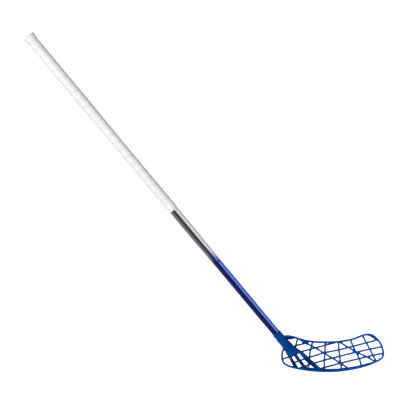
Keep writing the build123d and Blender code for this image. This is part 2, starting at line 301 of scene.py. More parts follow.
def tube_radius(s):
    """Straight, then a taper, then straight again."""
    return np.interp(s, (TAPER_START, TAPER_END), (TUBE_D / 2, LOW_D / 2))


def shaft_lacquer():
    """Two-tone paint under clear lacquer: glossy, with the faint weave of the wound fibre.

    The sheen down a round tube is painted in, as lighter and darker stops round the turn. The
    fade to blue starts sooner in a wedge beside the border, by the square of the way to it.
    """
    made, tree = new_material("two_tone_lacquer")
    place = node(tree, "ShaderNodeUVMap", uv_map="along").outputs[0]
    split = node(tree, "ShaderNodeSeparateXYZ", {0: place}).outputs
    down = node(tree, "ShaderNodeMath", {0: split[1], 1: MM}, operation="DIVIDE").outputs[0]
    turn = node(tree, "ShaderNodeMath", {0: split[0], 1: 0.5}, operation="ADD").outputs[0]
    turn = node(tree, "ShaderNodeMath", {0: turn}, operation="FRACT").outputs[0]
    upper = node(tree, "ShaderNodeValToRGB", {0: turn}, UPPER_PAINT_AND_SHEEN).outputs[0]
    lower = node(tree, "ShaderNodeValToRGB", {0: turn}, LOWER_PAINT_AND_SHEEN).outputs[0]
    near = node(tree, "ShaderNodeMapRange", {"Value": turn, "From Min": WEDGE_SPAN[0],
                                             "From Max": WEDGE_SPAN[1]}).outputs[0]
    near = node(tree, "ShaderNodeMath", {0: near, 1: 2.0}, operation="POWER").outputs[0]
    light_half = node(tree, "ShaderNodeMath", {0: turn, 1: BORDER}, operation="LESS_THAN").outputs[0]
    wedge = node(tree, "ShaderNodeMath", {0: near, 1: light_half}, operation="MULTIPLY").outputs[0]
    fade_start, fade_end = (
        node(tree, "ShaderNodeMath", {0: wedge, 1: sooner, 2: usual},
             operation="MULTIPLY_ADD").outputs[0]
        for sooner, usual in zip(FADE_WEDGE, (FADE_START, FADE_END)))
    fade = node(tree, "ShaderNodeMapRange", {"Value": down, "From Min": fade_start,
                                             "From Max": fade_end},
                interpolation_type="SMOOTHSTEP").outputs[0]
    is_pale = node(tree, "ShaderNodeMath", {0: down, 1: PALE_TO}, operation="LESS_THAN").outputs[0]
    upper = node(tree, "ShaderNodeMix", {0: is_pale, 6: upper, 7: PALE}, data_type="RGBA").outputs[2]
    paint = node(tree, "ShaderNodeMix", {0: fade, 6: upper, 7: lower}, data_type="RGBA").outputs[2]
    off = node(tree, "ShaderNodeMath", {0: down, 1: RING_AT}, operation="SUBTRACT").outputs[0]
    off = node(tree, "ShaderNodeMath", {0: off}, operation="ABSOLUTE").outputs[0]
    on_ring = node(tree, "ShaderNodeMath", {0: off, 1: RING_WIDTH / 2}, operation="LESS_THAN").outputs[0]
    paint = node(tree, "ShaderNodeMix", {0: on_ring, 6: paint, 7: RING_COLOUR},
                 data_type="RGBA").outputs[2]
    weave = node(tree, "ShaderNodeTexNoise", {"Vector": place, "Scale": WEAVES_PER_MM / MM,
                                              "Detail": 2.0}).outputs["Fac"]
    share = node(tree, "ShaderNodeMath", {0: weave, 1: WEAVE_SHARE}, operation="MULTIPLY").outputs[0]
    paint = node(tree, "ShaderNodeMix", {0: share, 6: paint, 7: WEAVE_COLOUR},
                 data_type="RGBA").outputs[2]
    wobble = node(tree, "ShaderNodeBump", {"Height": weave, "Strength": 0.02,
                                           "Distance": 0.2 * MM}).outputs[0]
    shader = node(tree, "ShaderNodeBsdfPrincipled", {
        "Base Color": paint, "Roughness": 0.35, "Specular IOR Level": 0.05, "Coat Weight": 0.2,
        "Coat IOR": 1.4, "Coat Roughness": 0.1, "Normal": wobble})
    node(tree, "ShaderNodeOutputMaterial", {"Surface": shader.outputs[0]})
    return made


stations = np.arange(GRIP_END - UNDER_GRIP, TUBE_END - STATION_STEP / 2, STATION_STEP)
stations = np.concatenate([[TUBE_START], stations, [TUBE_END]])
outside = np.column_stack([stations, tube_radius(stations)])
inside = outside[::-1] - (0, TUBE_WALL)
piece("lacquered_shaft", [turned(np.vstack([outside, inside]), loop=True)], shaft_lacquer(),
      "shaft_tube")


# ==== End cap ====
# A moulded plastic button with a low dome, pushed into the butt end until its head sits on the
# tube and covers the cut edge of the grip.

CAP_D, CAP_RISE, CAP_PLUG_D, CAP_PLUG_LENGTH, CAP_WALL = 28.0, 2.5, 18.1, 22.0, 1.6
DOME_SHARE, DOME_POWER, DOME_INSET = 0.62, 2.4, 0.5
CAP_EDGE_ROUND, CAP_CORNER_ROUND = 0.45, 0.25
CAP_WHITE, CAP_SHADE = "#ecebe8", "#dfdedb"
TONE_DRIFT = 28.57


def fillet(corner, before, after, radius, steps=6):
    """The points of a round of the given radius at a profile's square or slanted corner."""
    corner, before, after = (np.asarray(p, float) for p in (corner, before, after))
    a, b = before - corner, after - corner
    a, b = a / np.linalg.norm(a), b / np.linalg.norm(b)
    half = np.arccos(np.clip(a @ b, -1, 1)) / 2
    reach = radius / np.tan(half)
    centre = corner + (a + b) / np.linalg.norm(a + b) * radius / np.sin(half)
    t = np.linspace(0, 1, steps)[:, None]
    arc = (corner + a * reach) * (1 - t) ** 2 + 2 * corner * t * (1 - t) + (corner + b * reach) * t ** 2
    towards = arc - centre
    return centre + towards / np.linalg.norm(towards, axis=1)[:, None] * radius


def rounded_profile(points, radius):
    """A profile with the same round on each of its inner corners."""
    rows = [np.asarray(points[:1], float)]
    for before, corner, after in zip(points, points[1:], points[2:]):
        rows.append(fillet(corner, before, after, radius))
    return np.vstack([*rows, np.asarray(points[-1:], float)])


def satin_plastic(name, colour, dark, roughness, grain):
    """Moulded polypropylene or vinyl: satin, a little uneven in tone, with the mould's fine grain.

    The tone drifts over about 29 mm. The grain is given in millimetres, and is drawn coarser than
    the real one, so that it shows.
    """
    made, tree = new_material(name)
    place = node(tree, "ShaderNodeTexCoord").outputs["Object"]
    cloud = node(tree, "ShaderNodeTexNoise", {"Vector": place, "Scale": 1 / (TONE_DRIFT * MM),
                                              "Detail": 3.0}).outputs["Fac"]
    fine = node(tree, "ShaderNodeTexNoise", {"Vector": place, "Scale": 1 / (grain * MM),
                                             "Detail": 2.0}).outputs["Fac"]
    rough = node(tree, "ShaderNodeMapRange", {"Value": cloud, "To Min": roughness - 0.05,
                                              "To Max": roughness + 0.07}).outputs[0]
    bump = node(tree, "ShaderNodeBump", {"Height": fine, "Strength": 0.12,
                                         "Distance": 0.2 * MM}).outputs[0]
    tone = node(tree, "ShaderNodeMix", {0: cloud, 6: dark, 7: colour}, data_type="RGBA").outputs[2]
    shader = node(tree, "ShaderNodeBsdfPrincipled", {"Base Color": tone, "IOR": 1.49,
                                                     "Roughness": rough, "Normal": bump})
    node(tree, "ShaderNodeOutputMaterial", {"Surface": shader.outputs[0]})
    return made


cap_r, cap_end = CAP_D / 2, CAP_RISE + CAP_PLUG_LENGTH
dome = np.linspace(0.02, 1, 18)
cap_head = np.column_stack([CAP_RISE * DOME_SHARE * dome ** DOME_POWER, (cap_r - DOME_INSET) * dome])
cap_edge = fillet((CAP_RISE * DOME_SHARE, cap_r), cap_head[-1], (CAP_RISE, cap_r), CAP_EDGE_ROUND)
cap_plug = rounded_profile([(CAP_RISE, cap_r), (CAP_RISE, CAP_PLUG_D / 2), (cap_end, CAP_PLUG_D / 2),
                            (cap_end, CAP_PLUG_D / 2 - CAP_WALL),
                            (CAP_RISE, CAP_PLUG_D / 2 - CAP_WALL), (CAP_RISE, 0.3)],
                           CAP_CORNER_ROUND)
piece("butt_cap", [turned(np.vstack([cap_head, cap_edge, cap_plug]))],
      satin_plastic("off_white_polypropylene", CAP_WHITE, CAP_SHADE, 0.42, 0.5), "end_cap")


# ==== Knob build-up ====
# Cloth tape wound into a wedge under the grip, so that the hand has something to stop against.
# It is covered by the grip, and only its cut edge can be seen with the cap off.

THREAD_SPACING = 3.946


def cloth_tape():
    """Cotton finger tape: matt and unbleached, in a plain weave of waves along and across.

    Its real threads are half a millimetre apart, and are drawn coarser, so that they show. A wave
    repeats every tenth of pi of the scaled length.
    """
    made, tree = new_material("cotton_cloth_tape")
    place = node(tree, "ShaderNodeTexCoord").outputs["Object"]
    threads = [node(tree, "ShaderNodeTexWave", {"Vector": place,
                                                "Scale": np.pi / 10 / (THREAD_SPACING * MM)},
                    bands_direction=axis).outputs["Fac"] for axis in ("X", "Z")]
    weave = node(tree, "ShaderNodeMath", dict(enumerate(threads)), operation="MAXIMUM").outputs[0]
    bump = node(tree, "ShaderNodeBump", {"Height": weave, "Strength": 0.3,
                                         "Distance": 0.2 * MM}).outputs[0]
    cotton = node(tree, "ShaderNodeMix", {0: weave, 6: "#cfccc2", 7: "#e9e6dd"},
                  data_type="RGBA").outputs[2]
    shader = node(tree, "ShaderNodeBsdfPrincipled", {"Base Color": cotton, "Roughness": 0.9,
                                                     "Sheen Weight": 0.2, "Normal": bump})
    node(tree, "ShaderNodeOutputMaterial", {"Surface": shader.outputs[0]})
    return made


def dress(node_name, material):
    """Gives a carried-over CAD node its material."""
    mesh = frame["nodes"][node_name].data
    mesh.materials.clear()
    mesh.materials.append(material)


dress("knob_build_up", cloth_tape())


# ==== Grip ====
# Soft polyurethane tape, wound in a spiral from the knob down, each turn lapping the last, over a
# pad that makes the upper part thicker. Its first two turns are doubled, round the knob.

KNOB_D, KNOB_LENGTH = 26.2, 18.5
GRIP_THICKNESS, GRIP_PADDING, WRAP_GAP = 1.1, 1.0, 0.03
GRIP_PULL = 0.2              # how much thinner the tape is pulled as it is wound
THINNING = (200.0, 340.0)
LAP_PITCH, LAP_STEP, LAP_SWELL = 22.0, 0.42, 0.06
LAPS_FROM, LAPS_TO = 18.0, GRIP_END - 12.6   # none show round the knob or under the finishing band
LAPS_GROW, LAPS_FADE = 4.0, 2.0              # the lengths over which they start and stop
KNOB_RIDGES, KNOB_RIDGE_HEIGHT, KNOB_RIDGE_REACH = (8.2, 14.4), 0.256, 1.3
FOOT_FILL, FOOT_SPAN, FOOT_GROWS = 0.315, (3.0, 35.0), (24.0, 36.0)
GRIP_CUT = 0.25              # how far the tape's cut ends lie under its surface
GRIP_COLUMNS = 96
PORE_SIZE, GRAIN_SIZE, WEAR_DRIFT = 1.1, 0.35, 45.45


def grip_radius(s):
    """The knob's flare, then the padded and the thinning part, with two ridges round the knob.

    A ridge is a bell curve. The wedge's foot is filled by a sine squared that grows with s.
    """
    under = np.interp(s, (0, KNOB_LENGTH), (KNOB_D / 2, TUBE_D / 2))
    padding = np.interp(s, THINNING, (GRIP_PADDING, 0))
    ridges = sum(np.exp(-((s - at) / KNOB_RIDGE_REACH) ** 2) for at in KNOB_RIDGES)
    foot = FOOT_FILL * np.sin(np.interp(s, FOOT_SPAN, (0, np.pi))) ** 2 * np.interp(s, FOOT_GROWS, (0, 1))
    return (under + WRAP_GAP + GRIP_THICKNESS - GRIP_PULL + padding
            + ridges * KNOB_RIDGE_HEIGHT + foot)


def wound_grip():
    """The lapped tape as one sheet that follows the spiral, closed through its bore.

    The rows follow the lap, so that each of its edges is one clean line: a row's distance grows
    by one pitch in a turn. The radius falls by the step at a lap's edge and climbs back within a
    fifth of the pitch. Rows outside the grip are pressed onto its ends.
    """
    lap = np.array([0, 0.012, 0.03, 0.06, 0.1, 0.15, 0.21, 0.3, 0.42, 0.56, 0.7, 0.84, 0.95, 0.985])
    turns = int(np.ceil(GRIP_END / LAP_PITCH)) + 2
    share = (np.arange(-1, turns)[:, None] + lap).ravel()
    phase = np.tile(lap, turns + 1)
    angle = np.arange(GRIP_COLUMNS + 1) / GRIP_COLUMNS
    s = (share[:, None] - angle) * LAP_PITCH
    step = LAP_STEP * np.exp(-phase / 0.07) - LAP_SWELL * np.exp(-((1 - phase) / 0.05))
    s = np.clip(s, CAP_RISE, GRIP_END)
    keep = (s.max(1) > CAP_RISE) & (s.min(1) < GRIP_END)
    s, step = s[keep], step[keep]
    fade = np.clip((s - LAPS_FROM) / LAPS_GROW, 0, 1) * np.clip((LAPS_TO - s) / LAPS_FADE, 0, 1)
    radius = grip_radius(s) - step[:, None] * fade
    ends = (s <= CAP_RISE) | (s >= GRIP_END)
    radius = np.where(ends, grip_radius(s) - GRIP_CUT, radius)
    ring = np.ones((1, len(angle)))
    bends = np.array([CAP_RISE, GRIP_END, KNOB_LENGTH])
    bore = np.interp(bends, (0, KNOB_LENGTH), (KNOB_D / 2, TUBE_D / 2)) + WRAP_GAP
    outer = grip_radius(bends) - GRIP_CUT
    s = np.vstack([bends[0] * ring, bends[0] * ring, s, bends[1] * ring, bends[1] * ring,
                   bends[2] * ring])
    radius = np.vstack([bore[0] * ring, outer[0] * ring, radius, outer[1] * ring,
                        bore[1] * ring, bore[2] * ring])
    turn = 2 * np.pi * angle
    spokes = np.cos(turn)[:, None] * ACROSS + np.sin(turn)[:, None] * np.cross(DOWN, ACROSS)
    points = BUTT + (DOWN * s[..., None] + spokes * radius[..., None]) * MM
    rows = np.arange(len(s))
    partner = np.maximum(rows - len(lap), 1)
    partner[[0, -3, -2, -1]] = rows[[0, -3, -2, -1]]
    return points[:, :-1], s * MM, partner


def grip_tape():
    """Polyurethane over felt: soft and matt, with painted shade at its lap edges, and greyer where it is
    worn.

    Its real pores are too fine to show, and are drawn coarser, with a finer grain between them.
    """
    made, tree = new_material("polyurethane_grip_tape")
    place = node(tree, "ShaderNodeTexCoord").outputs["Object"]
    along = node(tree, "ShaderNodeUVMap", uv_map="along").outputs[0]
    split = node(tree, "ShaderNodeSeparateXYZ", {0: along}).outputs
    lap = node(tree, "ShaderNodeMath", {0: split[1], 1: LAP_PITCH * MM}, operation="DIVIDE").outputs[0]
    lap = node(tree, "ShaderNodeMath", {0: lap, 1: split[0]}, operation="ADD").outputs[0]
    lap = node(tree, "ShaderNodeMath", {0: lap}, operation="FRACT").outputs[0]
    # Painted shade: the tape is darker in the step at each lap's edge and lightens across the lap.
    painted_lap_shade = node(tree, "ShaderNodeValToRGB", {0: lap}, (
        (0.0, "#cfcfd0"), (0.035, "#e0e0e1"), (0.12, "#ebebec"), (0.55, "#efefef"),
        (0.93, "#f1f1f1"), (1.0, "#f3f3f3"))).outputs[0]
    smudge = node(tree, "ShaderNodeTexNoise", {"Vector": place, "Scale": 1 / (WEAR_DRIFT * MM),
                                               "Detail": 4.0}).outputs["Fac"]
    worn = node(tree, "ShaderNodeMapRange", {"Value": smudge, "From Min": 0.55, "From Max": 0.85,
                                             "To Max": 0.1}).outputs[0]
    pores = node(tree, "ShaderNodeTexVoronoi", {"Vector": place,
                                                "Scale": 1 / (PORE_SIZE * MM)}).outputs[0]
    grain = node(tree, "ShaderNodeTexNoise", {"Vector": place,
                                              "Scale": 1 / (GRAIN_SIZE * MM)}).outputs["Fac"]
    relief = node(tree, "ShaderNodeMath", {0: pores, 1: 0.6}, operation="MULTIPLY").outputs[0]
    relief = node(tree, "ShaderNodeMath", {0: relief, 1: grain}, operation="ADD").outputs[0]
    bump = node(tree, "ShaderNodeBump", {"Height": relief, "Strength": 0.03,
                                         "Distance": 0.2 * MM}).outputs[0]
    tone = node(tree, "ShaderNodeMix", {0: worn, 6: painted_lap_shade, 7: "#dcdbd9"}, data_type="RGBA").outputs[2]
    shader = node(tree, "ShaderNodeBsdfPrincipled", {
        "Base Color": tone, "Roughness": 0.62, "IOR": 1.45, "Sheen Weight": 0.02,
        "Sheen Roughness": 0.5, "Normal": bump})
    node(tree, "ShaderNodeOutputMaterial", {"Surface": shader.outputs[0]})
    return made


grip_points, grip_along, grip_partner = wound_grip()
grip = piece("wound_grip", [grid_faces(grip_points, grip_along, loop=True, partner=grip_partner)],
             grip_tape(), "grip_wrap")
# Rows pressed onto the grip's ends fall together, and are merged.
soft = bmesh.new()
soft.from_mesh(grip.data)
bmesh.ops.remove_doubles(soft, verts=soft.verts, dist=1e-6)
soft.to_mesh(grip.data)
soft.free()


# ==== Finishing band ====
# Thin self-adhesive tape, wound once round the grip's lower end to hold the last lap down, with
# the cut edge of the grip showing below it as a thin grey line.

BAND_WIDTH, BAND_SETBACK, BAND_THICKNESS, BAND_ROUND = 12.0, 0.6, 0.25, 0.12
band_end = GRIP_END - BAND_SETBACK
band_start = band_end - BAND_WIDTH
band_bore = TUBE_D / 2 + 2 * WRAP_GAP + GRIP_THICKNESS
band_out = band_bore + BAND_THICKNESS
band = np.vstack([rounded_profile([(band_start, band_bore), (band_start, band_out),
                                   (band_end, band_out), (band_end, band_bore)], BAND_ROUND),
                  [(band_start + 1, band_bore)]])
piece("grip_end_tape", [turned(band, loop=True)],
      satin_plastic("white_vinyl_tape", "#f4f4f4", "#ececec", 0.34, 0.9), "finishing_band")


# ==== Plug and screw ====
# A moulded plug closes the tube's lower end. One zinc-plated self-tapping screw goes through the
# heel side of the socket and the tube into it, so the blade can be changed.

SCREW_AT, SCREW_SEAT_R, SCREW_LENGTH, SCREW_D = 929.0, 10.5, 12.0, 3.6
SCREW_HEAD_D, SCREW_HEAD_HEIGHT, SCREW_DRIVE_D, SCREW_DRIVE_DEPTH = 7.0, 1.9, 3.0, 1.2
SCREW_NECK, SCREW_TIP, SCREW_ROUND = 0.4, 3.0, 0.3
THREAD_PITCH, THREAD_DEPTH = 1.4, 0.45
SPOTS_PER_MM = 0.9


def threaded_shank():
    """(distance, radius) rows of the shank: a thread's ridge every pitch, dying out at the tip.

    A ridge is the cube of a cosine's upper half.
    """
    place = np.linspace(-SCREW_LENGTH, -SCREW_NECK, 120)
    ridge = np.maximum(np.cos(2 * np.pi * place / THREAD_PITCH), 0) ** 3 * THREAD_DEPTH
    grown = np.clip((place + SCREW_LENGTH) / SCREW_TIP, 0, 1)
    root = np.interp(grown, (0, 1), (0.05, SCREW_D / 2 - THREAD_DEPTH))
    return np.column_stack([place, root + ridge * grown])


def zinc_plate():
    """Zinc-plated steel: bright and bluish, and unevenly polished in spots of about a millimetre."""
    made, tree = new_material("zinc_plated_steel")
    place = node(tree, "ShaderNodeTexCoord").outputs["Object"]
    cloud = node(tree, "ShaderNodeTexNoise", {"Vector": place, "Scale": SPOTS_PER_MM / MM,
                                              "Detail": 3.0}).outputs["Fac"]
    rough = node(tree, "ShaderNodeMapRange", {"Value": cloud, "To Min": 0.22,
                                              "To Max": 0.42}).outputs[0]
    plate = node(tree, "ShaderNodeMix", {0: cloud, 6: "#a9adb3", 7: "#c6cace"},
                 data_type="RGBA").outputs[2]
    shader = node(tree, "ShaderNodeBsdfPrincipled", {"Base Color": plate, "Metallic": 1.0,
                                                     "Roughness": rough})
    node(tree, "ShaderNodeOutputMaterial", {"Surface": shader.outputs[0]})
    return made


top, half, drive = SCREW_HEAD_HEIGHT, SCREW_HEAD_D / 2, SCREW_DRIVE_D / 2
screw_head = rounded_profile([(top - SCREW_DRIVE_DEPTH, 0.05), (top - SCREW_DRIVE_DEPTH, drive),
                              (top, drive), (top, half), (0, half), (0, SCREW_D / 2),
                              (-SCREW_NECK, SCREW_D / 2)], SCREW_ROUND)
piece("blade_fixing_screw",
      [turned(np.vstack([threaded_shank(), screw_head[::-1]]), 48,
              start=BUTT + (DOWN * SCREW_AT - ACROSS * SCREW_SEAT_R) * MM,
              axis=-ACROSS, spoke=OUT)], zinc_plate(), "blade_screw")
dress("shaft_plug", satin_plastic("black_polypropylene", "#2a2a2c", "#1f1f21", 0.5, 0.5))


# ==== Blade: rim ====
# The blade is one moulding of polyethylene. A deep rim with eased edges runs round it, from one side
# of the socket to the other. It is flat by the socket, then curves round a large radius to the toe.

MOUTH_AT = 911.0             # the socket's mouth, below the butt end
MOUTH = (-112.1, 92.2)       # and the same place along and up from the blade's origin
HOOK_START, HOOK_RADIUS = -30.0, 610.0
RIM_WIDTH, RIM_DEPTH, RIM_ROUND, RIM_DRAFT = 5.0, 9.6, 1.3, 0.06
BLADE_ORIGIN = BUTT + DOWN * MOUTH_AT * MM - np.array([MOUTH[0], 0, MOUTH[1]]) * MM
OUTLINE = (                  # from the socket along the top, round the toe, and back along the sole
    (-95, 87), (-79, 87), (-60, 81.7), (-36, 75.6), (-8, 73.2), (15, 73.1), (43, 75.6), (72, 82.5),
    (95, 91.2), (104.5, 92.1), (114, 89.6), (125, 81), (134, 68.5), (139.6, 51.5), (140.3, 44.5),
    (137, 35), (123, 24.5), (95, 13.2), (62, 5.3), (29, 0.8), (1, 0), (-36, 2.6), (-69, 8.1),
    (-86, 13.3), (-95.5, 19.5), (-100, 28), (-101.2, 36), (-100.5, 46), (-98.2, 53.3))
OUTLINE_ROWS = 421
INTO_SOCKET = (3.0, (2.5, 5.0, 7.5, 10.0))   # how far the rim's two ends run on into the socket
BRIGHT_SPAN = (0.46, 0.68)   # in metres, where painted light brightens the blue towards the toe
FLOW_SIZE, MOULD_GRAIN = 38.46, 0.6
NOOK_REACH = 15.0            # how near a wall has to be for painted shade in a recess
SHEEN_TINT = "#2f86ff"


def hooked(points):
    """Blade points (along, up, out) in mm, bent round the hook's radius and put in place in metres.

    Past the hook's start the middle surface falls away by R minus the root of R squared less the
    run squared, and what stands out from it is stretched along the stick's own normal.
    """
    along, up, out = np.moveaxis(np.asarray(points, float), -1, 0)
    run = np.maximum(along - HOOK_START, 0)
    flat = np.sqrt(HOOK_RADIUS ** 2 - run ** 2)
    towards = HOOK_RADIUS - flat + out * HOOK_RADIUS / flat
    return BLADE_ORIGIN + np.stack([along, -towards, up], -1) * MM


def smooth_through(points):
    """A function of 0 to 1 that runs smoothly through the points: a natural cubic spline.

    Its parameter is the distance along the points, and its second derivatives solve one set of
    equations that keeps the slope the same on both sides of each point.
    """
    points = np.asarray(points, float)
    knots = np.concatenate([[0], np.cumsum(np.linalg.norm(np.diff(points, axis=0), axis=1))])
    h = np.diff(knots)
    system = np.eye(len(knots))
    inner = np.arange(1, len(knots) - 1)
    system[inner, inner - 1], system[inner, inner] = h[:-1], 2 * (h[:-1] + h[1:])
    system[inner, inner + 1] = h[1:]
    slopes = np.diff(points, axis=0) / h[:, None]
    right = np.zeros_like(points)
    right[1:-1] = 6 * np.diff(slopes, axis=0)
    bends = np.linalg.solve(system, right)

    def at(share):
        x = np.asarray(share, float) * knots[-1]
        i = np.clip(np.searchsorted(knots, x, side="right") - 1, 0, len(h) - 1)
        a, b, w = (knots[i + 1] - x)[:, None], (x - knots[i])[:, None], h[i][:, None]
        return (bends[i] * a ** 3 + bends[i + 1] * b ** 3) / (6 * w) + (
            (points[i] / w - bends[i] * w / 6) * a + (points[i + 1] / w - bends[i + 1] * w / 6) * b)

    return at


def shape_of(path, profile):
    """Faces of a (side, out) profile in mm carried along a path of (along, up) blade points.

    Side is to the left of the way the path runs. The profile may be one for all rows, or one a row.
    """
    path = np.asarray(path, float)
    run = np.gradient(path, axis=0)
    run /= np.linalg.norm(run, axis=1, keepdims=True)
    side = np.column_stack([-run[:, 1], run[:, 0]])
    profile = np.broadcast_to(profile, (len(path), *profile.shape[-2:]))
    flat = path[:, None] + side[:, None] * profile[..., :1]
    points = hooked(np.concatenate([flat, profile[..., 1:]], -1))
    gone = np.concatenate([[0], np.cumsum(np.linalg.norm(np.diff(path, axis=0), axis=1))]) * MM
    return grid_faces(points, gone[:, None])


def eased_bar(width, depth, radius, draft=0.0, steps=6):
    """A rectangle with rounded corners and sides that lean in towards both faces by the draft."""
    turn = np.linspace(0, np.pi / 2, steps)
    quarters = []
    for quarter, (x, y) in enumerate(((1, 1), (-1, 1), (-1, -1), (1, -1))):
        angle = turn + quarter * np.pi / 2
        centre = np.array([x * (width / 2 - radius), y * (depth / 2 - radius)])
        quarters.append(centre + radius * np.column_stack([np.cos(angle), np.sin(angle)]))
    ring = np.vstack([[width / 2, 0], quarters[0], quarters[1], [-width / 2, 0], *quarters[2:]])
    ring[:, 0] *= 1 - draft * np.abs(ring[:, 1]) / (depth / 2)
    return ring


def moulded_polyethylene(name, pale, deep, toe_painted_light, painted_recess_shade):
    """Dyed polyethylene: waxy and satin, with soft flow marks in its blue.

    Painted light makes the blue a little brighter towards the toe, and painted shade makes it darker
    in the moulding's recesses. The mould's grain is too fine to show, and is drawn coarser.
    """
    made, tree = new_material(name)
    place = node(tree, "ShaderNodeTexCoord").outputs["Object"]
    flow = node(tree, "ShaderNodeTexNoise", {"Vector": place, "Scale": 1 / (FLOW_SIZE * MM),
                                             "Detail": 3.0, "Distortion": 0.8}).outputs["Fac"]
    grain = node(tree, "ShaderNodeTexNoise", {"Vector": place, "Scale": 1 / (MOULD_GRAIN * MM),
                                              "Detail": 2.0}).outputs["Fac"]
    rough = node(tree, "ShaderNodeMapRange", {"Value": flow, "To Min": 0.27,
                                              "To Max": 0.4}).outputs[0]
    bump = node(tree, "ShaderNodeBump", {"Height": grain, "Strength": 0.1,
                                         "Distance": 0.2 * MM}).outputs[0]
    nook = node(tree, "ShaderNodeAmbientOcclusion", {"Distance": NOOK_REACH * MM}, samples=8)
    open_air = node(tree, "ShaderNodeMapRange", {"Value": nook.outputs["AO"], "From Min": 0.7,
                                                 "From Max": 0.98}).outputs[0]
    along = node(tree, "ShaderNodeSeparateXYZ", {0: place}).outputs[0]
    at_toe = node(tree, "ShaderNodeMapRange", {"Value": along, "From Min": BRIGHT_SPAN[0],
                                               "From Max": BRIGHT_SPAN[1]}).outputs[0]
    dye_and_painted_light = node(tree, "ShaderNodeMix", {0: flow, 6: deep, 7: pale}, data_type="RGBA").outputs[2]
    # Painted light: the blue is brighter towards the toe.
    dye_and_painted_light = node(tree, "ShaderNodeMix", {0: at_toe, 6: dye_and_painted_light, 7: toe_painted_light}, data_type="RGBA").outputs[2]
    # Painted shade: the blue darkens in recesses, near other walls of the moulding.
    dye_and_painted_light = node(tree, "ShaderNodeMix", {0: open_air, 6: painted_recess_shade, 7: dye_and_painted_light},
               data_type="RGBA").outputs[2]
    shader = node(tree, "ShaderNodeBsdfPrincipled", {
        "Base Color": dye_and_painted_light, "Roughness": rough, "Specular IOR Level": 0.35,
        "Specular Tint": SHEEN_TINT, "Normal": bump})
    node(tree, "ShaderNodeOutputMaterial", {"Surface": shader.outputs[0]})
    return made


edge = smooth_through(OUTLINE)(np.linspace(0, 1, OUTLINE_ROWS))
heading = np.gradient(edge, axis=0)
heading /= np.linalg.norm(heading, axis=1, keepdims=True)
inwards = np.column_stack([heading[:, 1], -heading[:, 0]])
rim_line = edge + inwards * RIM_WIDTH / 2
rim_head = rim_line[0] - heading[0] * INTO_SOCKET[0]
rim_tail = rim_line[-1] + heading[-1] * np.array(INTO_SOCKET[1])[:, None]
rim_bar = eased_bar(RIM_WIDTH, RIM_DEPTH, RIM_ROUND, RIM_DRAFT)
# Each plastic's last colour is the painted shade in its recesses.
blade_plastic = moulded_polyethylene("blue_polyethylene", "#00488f", "#00387e", "#0048a4", "#000614")
# The rim gets a lighter copy of the blade's plastic: painted light, brighter where the rim's faces catch
# the lamps.
rim_plastic_painted_lighter = moulded_polyethylene("blue_polyethylene_painted_lit_edge", "#0052a6", "#004696", "#004eaa",
                                   "#004a9e")
piece("blade_rim", [shape_of(np.vstack([rim_head, rim_line, rim_tail]), rim_bar)], rim_plastic_painted_lighter, "blade")


# ==== Blade: ribs ====
# Fourteen ribs of the same moulding cross inside the rim and run into it. They are shallower than
# the rim, with eased edges, and small rounds fill the corners between two bars.

RIB_WIDTH, RIB_DEPTH, RIB_ROUND, RIB_DRAFT = 4.3, 6.4, 0.8, 0.08
RIB_LESS = 0.02              # each rib is this much shallower than the last: no faces in one plane
RIB_OVERRUN, RIB_STEP = 6.0, 1.5
CELL_ROUND, CELL_ROUND_SUNK = 0.8, 0.16
CORNER_REACH = 3.0           # how far along its two bars a corner's round may reach
NEARLY_STRAIGHT = 0.97       # the cosine past which two bars leave no corner between them
RIBS = (
    ((-101, 29.6), (-82, 36.4)),
    ((-70.5, 61.3), (-47, 67.2), (-30, 73.5)),
    ((-56, 47.9), (-31.7, 54), (3, 63.6), (35, 72)),
    ((-68, 23.2), (-45, 31.5), (0, 45.8), (35, 52.6), (68, 61.6), (126, 77.3)),
    ((-59, 9.2), (-28, 20), (2, 28.7), (75, 47.7), (139, 62.3)),
    ((-2.4, 10.3), (38.8, 21.6), (114.7, 40.9), (141, 46.5)),
    ((-60.4, 80.4), (-64.4, 72), (-66.7, 59)),
    ((-25.9, 73.3), (-31.7, 54), (-34.5, 35.7), (-38.3, 5)),
    ((3.5, 73.3), (0.7, 28.7), (0.5, 2.8)),
    ((33.8, 73.3), (34.8, 52.6), (38.8, 21.6), (41.8, 2.8)),
    ((60.6, 79.2), (67.7, 61.6), (82.3, 32.2), (88.8, 11)),
    ((88.1, 89.8), (106.5, 55.2), (122.2, 25.1)),
    ((-58.8, 78), (-44.7, 68.6), (-28.7, 62), (-0.7, 45.6), (38.8, 21.6), (61.1, 6.1)),
    ((35.3, 71.7), (55.2, 59.5), (75, 48), (99.9, 36.9), (121, 24.9)))


def finely(points, step):
    """A straight-sided path with points added so that none are further apart than the step."""
    points = np.asarray(points, float)
    gone = np.concatenate([[0], np.cumsum(np.linalg.norm(np.diff(points, axis=0), axis=1))])
    places = np.unique(np.concatenate([np.arange(0, gone[-1], step), gone]).round(3))
    return np.column_stack([np.interp(places, gone, points[:, i]) for i in (0, 1)])


def meeting(path, other):
    """Where two paths cross: for each crossing its point, and how far along each path it lies."""
    a, b = path[:-1, None], np.diff(path, axis=0)[:, None]
    c, d = other[None, :-1], np.diff(other, axis=0)[None]
    area = b[..., 0] * d[..., 1] - b[..., 1] * d[..., 0]
    area = np.where(np.abs(area) < 1e-9, 1e-9, area)
    gap = c - a
    t = (gap[..., 0] * d[..., 1] - gap[..., 1] * d[..., 0]) / area
    u = (gap[..., 0] * b[..., 1] - gap[..., 1] * b[..., 0]) / area
    i, j = np.nonzero((t >= 0) & (t < 1) & (u >= 0) & (u < 1))
    here = path[i] + (path[i + 1] - path[i]) * t[i, j][:, None]
    return here, i + t[i, j], j + u[i, j]


